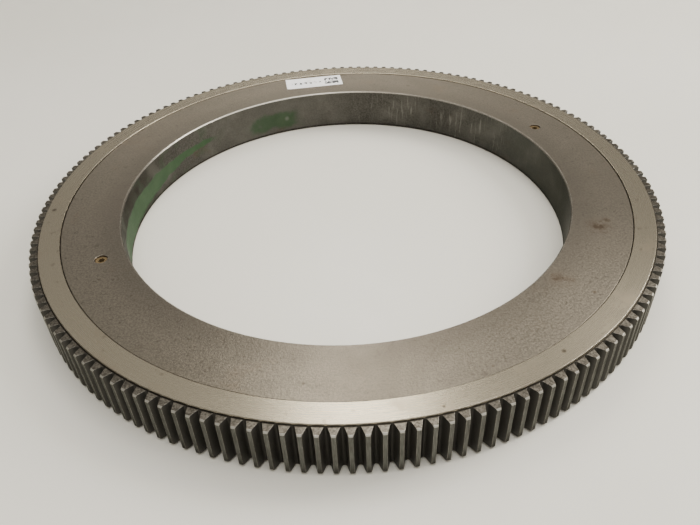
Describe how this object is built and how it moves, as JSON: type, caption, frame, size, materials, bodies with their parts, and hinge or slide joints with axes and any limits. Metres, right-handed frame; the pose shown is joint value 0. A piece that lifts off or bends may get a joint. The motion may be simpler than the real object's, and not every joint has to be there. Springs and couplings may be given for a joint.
{
  "type": "slewing ring bearing",
  "caption": "Slewing ring bearing: plain inner ring and an outer ring with external gear teeth, turning on a caged row of balls.",
  "frame": {"origin": "on the bearing's axis, at the level of the inner ring's lower face, on which the bearing stands", "axes": "+Z along the bearing's axis, up through the visible face; the two grease ports lie on one diameter; the loading plug is 20 degrees from -Y, towards +X"},
  "size_m": [0.5334, 0.5334, 0.0413],
  "materials": {
    "inner_ring_steel": "turned, dull, handled",
    "gear_ring_steel": "ground land, milled teeth with a greasy film",
    "pin_steel": "ground",
    "ball_steel": "polished",
    "cage_plastic": "moulded",
    "seal_rubber": "matt",
    "port_brass": "tarnished",
    "label_paper": "printed paper"
  },
  "bodies": {
    "inner_ring_body": {"inner_ring": "inner_ring_steel", "loading_plug": "inner_ring_steel", "loading_plug_taper_pin": "pin_steel", "stock_label": "label_paper", "upper_seal": "seal_rubber", "lower_seal": "seal_rubber", "grease_port_plug_left": "port_brass", "grease_port_plug_right": "port_brass"},
    "gear_ring_body": {"outer_gear_ring": "gear_ring_steel"},
    "ball_and_cage_body": {"cage_segment_01": "cage_plastic", "cage_segment_02": "cage_plastic", "cage_segment_03": "cage_plastic", "cage_segment_04": "cage_plastic", "cage_segment_05": "cage_plastic", "cage_segment_06": "cage_plastic", "cage_segment_07": "cage_plastic", "cage_segment_08": "cage_plastic", "cage_segment_09": "cage_plastic", "cage_segment_10": "cage_plastic", "cage_segment_11": "cage_plastic", "cage_segment_12": "cage_plastic", "ball_set_01": "ball_steel", "ball_set_02": "ball_steel", "ball_set_03": "ball_steel", "ball_set_04": "ball_steel", "ball_set_05": "ball_steel", "ball_set_06": "ball_steel", "ball_set_07": "ball_steel", "ball_set_08": "ball_steel", "ball_set_09": "ball_steel", "ball_set_10": "ball_steel", "ball_set_11": "ball_steel", "ball_set_12": "ball_steel"}
  },
  "joints": [
    {"name": "gear_ring_spin", "type": "hinge", "parent": "inner_ring_body", "child": "gear_ring_body", "pos_m": [0, 0, 0.02064], "axis": [0, 0, 1], "continuous": true},
    {"name": "ball_and_cage_spin", "type": "hinge", "parent": "inner_ring_body", "child": "ball_and_cage_body", "pos_m": [0, 0, 0.02064], "axis": [0, 0, 1], "continuous": true}
  ],
  "couplings": [
    {"joint": "ball_and_cage_spin", "follows": "gear_ring_spin", "ratio": 0.5116}
  ]
}
